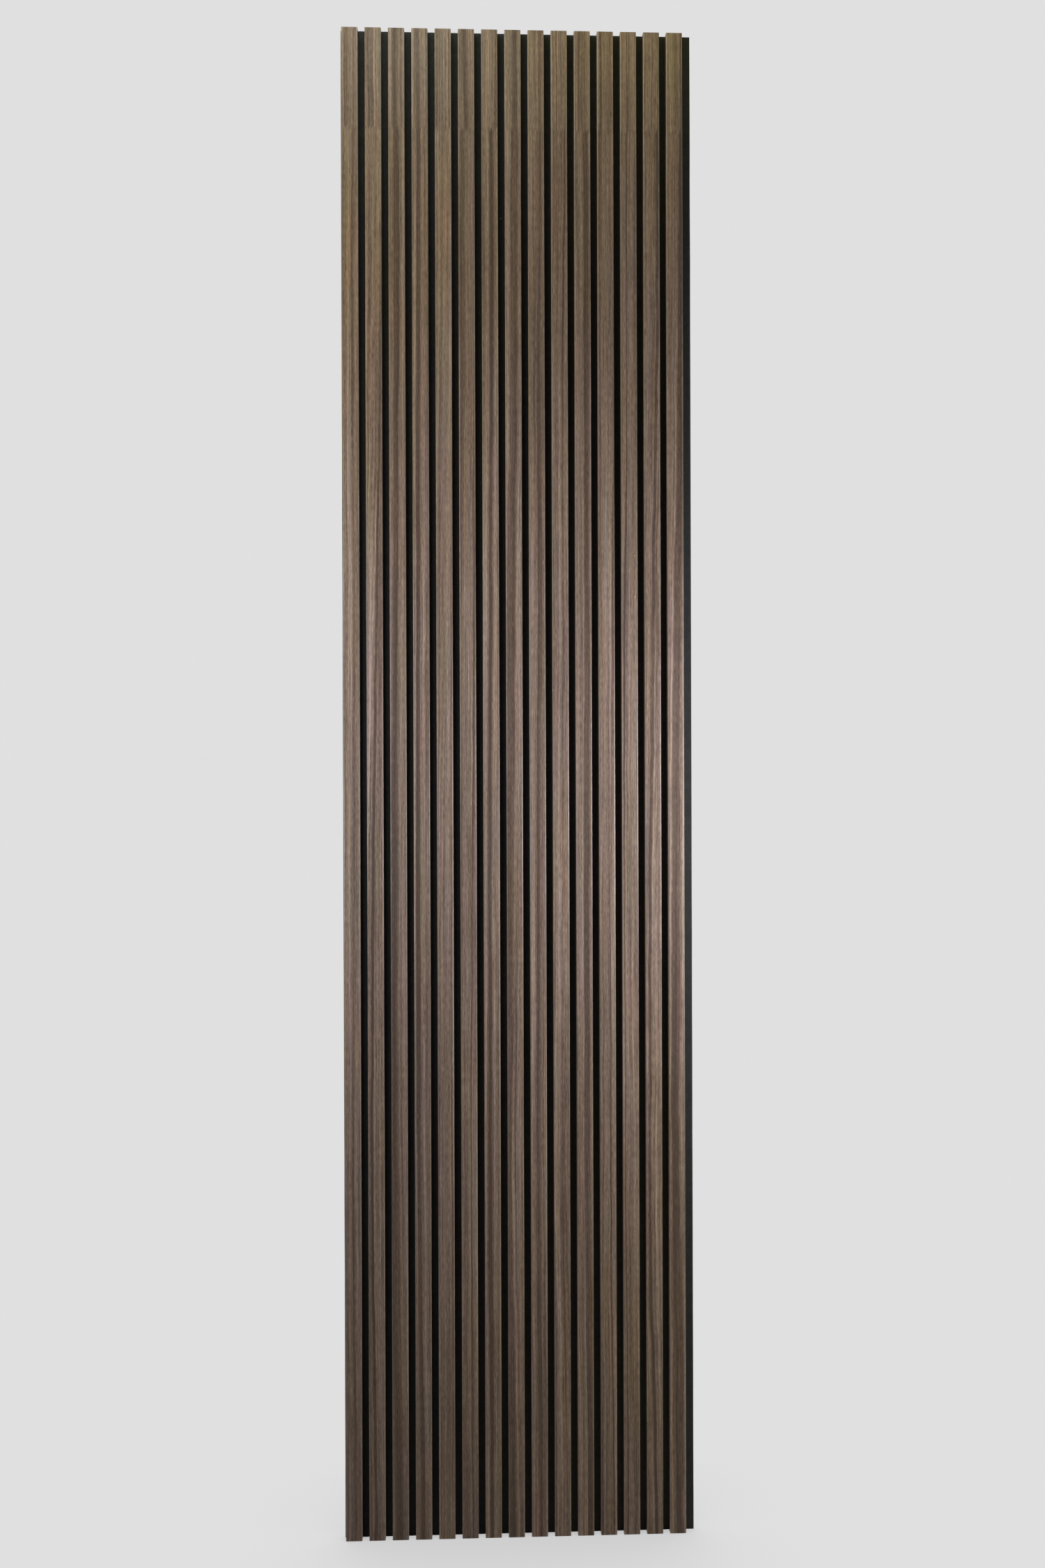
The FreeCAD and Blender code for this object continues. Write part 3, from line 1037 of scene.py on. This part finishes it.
def add_lamp(lamp, power):
    """A square soft lamp that faces its target and doesn't show itself."""
    data = bpy.data.lights.new(f"{lamp.name}_lamp", "AREA")
    data.shape = "SQUARE"
    data.size = lamp.size
    data.energy = power
    data.color = lamp.colour
    holder = bpy.data.objects.new(f"{lamp.name}_lamp", data)
    holder.location = lamp.place
    holder.rotation_euler = (Vector(lamp.target) - Vector(lamp.place)).to_track_quat("-Z", "Y").to_euler()
    holder.visible_camera = False
    bpy.context.scene.collection.objects.link(holder)


def seen_directly(shader):
    """1 for rays that show the backdrop: from the camera, mirrored or passed through glass."""
    path = shader.node("ShaderNodeLightPath", output="Is Camera Ray")
    mirrored = shader.math("MAXIMUM", path.other("Is Glossy Ray"), path.other("Is Transmission Ray"))
    return shader.math("MAXIMUM", path, mirrored)


def build_world(settings):
    """The backdrop: its grey where it is seen, and the ambient level where it lights."""
    world = bpy.data.worlds.new("studio")
    shader = Shader(world)
    seen = seen_directly(shader)
    level = seen * settings.backdrop + (1 - seen) * settings.ambient
    light = shader.node("ShaderNodeBackground", None, {"Color": (1.0, 1.0, 1.0, 1.0), "Strength": level})
    shader.node("ShaderNodeOutputWorld", None, {"Surface": light})
    bpy.context.scene.world = world


def floor_material(settings):
    """Pale floor: the backdrop's grey where it is seen, darker where the panel hides the light from it."""
    material, shader = new_material("pale_floor")
    open_sky = shader.node("ShaderNodeAmbientOcclusion", {"samples": 16},
                           {"Distance": settings.shadow_reach}, output="AO")
    level = 1 - (1 - open_sky) * settings.shadow
    grey = (settings.backdrop,) * 3
    matt = shader.node("ShaderNodeBsdfDiffuse", None, {"Color": (*grey, 1.0)})
    plain = shader.node("ShaderNodeEmission", None, {"Color": (*grey, 1.0), "Strength": level})
    both = shader.node("ShaderNodeMixShader", None, {0: seen_directly(shader), 1: matt, 2: plain})
    shader.node("ShaderNodeOutputMaterial", None, {"Surface": both})
    return material


def build_floor(settings):
    """A round floor under the panel's foot: rings from its rim inwards, each a full turn of points."""
    radii = FLOOR_RADIUS * np.linspace(1.0, 0.0, FLOOR_RINGS + 1)[:-1] ** 2
    turn = np.linspace(0.0, 2 * np.pi, FLOOR_SIDES + 1)[:-1]
    height = FELT_LOW[2] - FLOOR_DROP
    points = surface(radii[:, None] * np.cos(turn), radii[:, None] * np.sin(turn), height)
    return new_piece("floor", points, closed_sweep(points, open_start=True), floor_material(settings))


def add_camera(settings):
    """The camera: level, then turned right by its yaw, up by its pitch and about its sight by its roll."""
    data = bpy.data.cameras.new("camera")
    data.lens = settings.camera_lens
    camera = bpy.data.objects.new("camera", data)
    turn = Matrix.Rotation(-settings.camera_yaw, 4, "Z")
    tilt = Matrix.Rotation(math.pi / 2 + settings.camera_pitch, 4, "X")
    roll = Matrix.Rotation(settings.camera_roll, 4, "Z")
    camera.matrix_world = Matrix.Translation(settings.camera_place) @ turn @ tilt @ roll
    bpy.context.scene.collection.objects.link(camera)
    bpy.context.scene.camera = camera


# Operators

class SLATPANEL_OT_veneer_wraps(bpy.types.Operator):
    """Make the veneer wrap of every slat"""

    bl_idname = "slat_panel.veneer_wraps"
    bl_label = "Veneer wraps"

    def execute(self, context):
        settings = context.scene.slat_panel
        material = veneer_material(settings.veneer)
        for index in range(SLAT_COUNT):
            piece = build_wrap(index, settings.veneer, settings.stage.seed, material)
            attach(piece, BODY)
            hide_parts(numbered("veneer_wrap", index))
        return {"FINISHED"}


class SLATPANEL_OT_felt_board(bpy.types.Operator):
    """Make the felt board behind the slats"""

    bl_idname = "slat_panel.felt_board"
    bl_label = "Felt board"

    def execute(self, context):
        settings = context.scene.slat_panel
        piece = build_felt(settings.felt, settings.stage.seed, felt_material(settings.felt))
        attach(piece, BODY)
        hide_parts("felt_backing")
        return {"FINISHED"}


class SLATPANEL_OT_staples(bpy.types.Operator):
    """Make the staples that hold the slats from behind"""

    bl_idname = "slat_panel.staples"
    bl_label = "Staples"

    def execute(self, context):
        settings = context.scene.slat_panel.staples
        piece = build_staples(settings, staple_material(settings))
        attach(piece, BODY)
        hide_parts("staples")
        return {"FINISHED"}


class SLATPANEL_OT_fibreboard(bpy.types.Operator):
    """Give the slats' cores their fibreboard finish"""

    bl_idname = "slat_panel.fibreboard"
    bl_label = "Fibreboard cores"

    def execute(self, context):
        material = fibreboard_material(context.scene.slat_panel.fibreboard)
        for index in range(SLAT_COUNT):
            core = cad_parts[numbered("slat_core", index)]
            for place in core.material_slots:
                place.material = material
        return {"FINISHED"}


class SLATPANEL_OT_lint(bpy.types.Operator):
    """Lay the specks of lint on the panel"""

    bl_idname = "slat_panel.lint"
    bl_label = "Lint specks"

    def execute(self, context):
        settings = context.scene.slat_panel.lint
        piece = build_lint(settings, lint_material(settings))
        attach(piece, BODY)
        return {"FINISHED"}


class SLATPANEL_OT_stage(bpy.types.Operator):
    """Set the floor, the backdrop, the lamps and the camera"""

    bl_idname = "slat_panel.stage"
    bl_label = "Stage"

    def execute(self, context):
        settings = context.scene.slat_panel.stage
        context.scene.view_settings.view_transform = "Standard"
        build_floor(settings)
        build_world(settings)
        for lamp in LAMPS:
            add_lamp(lamp, getattr(settings, f"{lamp.name}_power"))
        add_camera(settings)
        return {"FINISHED"}


class VIEW3D_PT_slat_panel(bpy.types.Panel):
    """The panel's steps, in order, with their settings"""

    bl_label = "Slat panel"
    bl_space_type = "VIEW_3D"
    bl_region_type = "UI"
    bl_category = "Slat panel"

    def draw(self, context):
        settings = context.scene.slat_panel
        steps = [
            (SLATPANEL_OT_veneer_wraps, settings.veneer),
            (SLATPANEL_OT_felt_board, settings.felt),
            (SLATPANEL_OT_staples, settings.staples),
            (SLATPANEL_OT_fibreboard, settings.fibreboard),
            (SLATPANEL_OT_lint, settings.lint),
            (SLATPANEL_OT_stage, settings.stage),
        ]
        for operator, group in steps:
            box = self.layout.box()
            box.operator(operator.bl_idname)
            for name in group.__annotations__:
                box.prop(group, name)


CLASSES = [
    VeneerSettings,
    FeltSettings,
    StapleSettings,
    FibreboardSettings,
    LintSettings,
    StageSettings,
    PanelSettings,
    SLATPANEL_OT_veneer_wraps,
    SLATPANEL_OT_felt_board,
    SLATPANEL_OT_staples,
    SLATPANEL_OT_fibreboard,
    SLATPANEL_OT_lint,
    SLATPANEL_OT_stage,
    VIEW3D_PT_slat_panel,
]


def register():
    for each in CLASSES:
        bpy.utils.register_class(each)
    bpy.types.Scene.slat_panel = PointerProperty(type=PanelSettings)


def unregister():
    del bpy.types.Scene.slat_panel
    for each in reversed(CLASSES):
        bpy.utils.unregister_class(each)


def main():
    register()
    bpy.ops.slat_panel.veneer_wraps()
    bpy.ops.slat_panel.felt_board()
    bpy.ops.slat_panel.staples()
    bpy.ops.slat_panel.fibreboard()
    bpy.ops.slat_panel.lint()
    bpy.ops.slat_panel.stage()


if __name__ == "__main__":
    main()
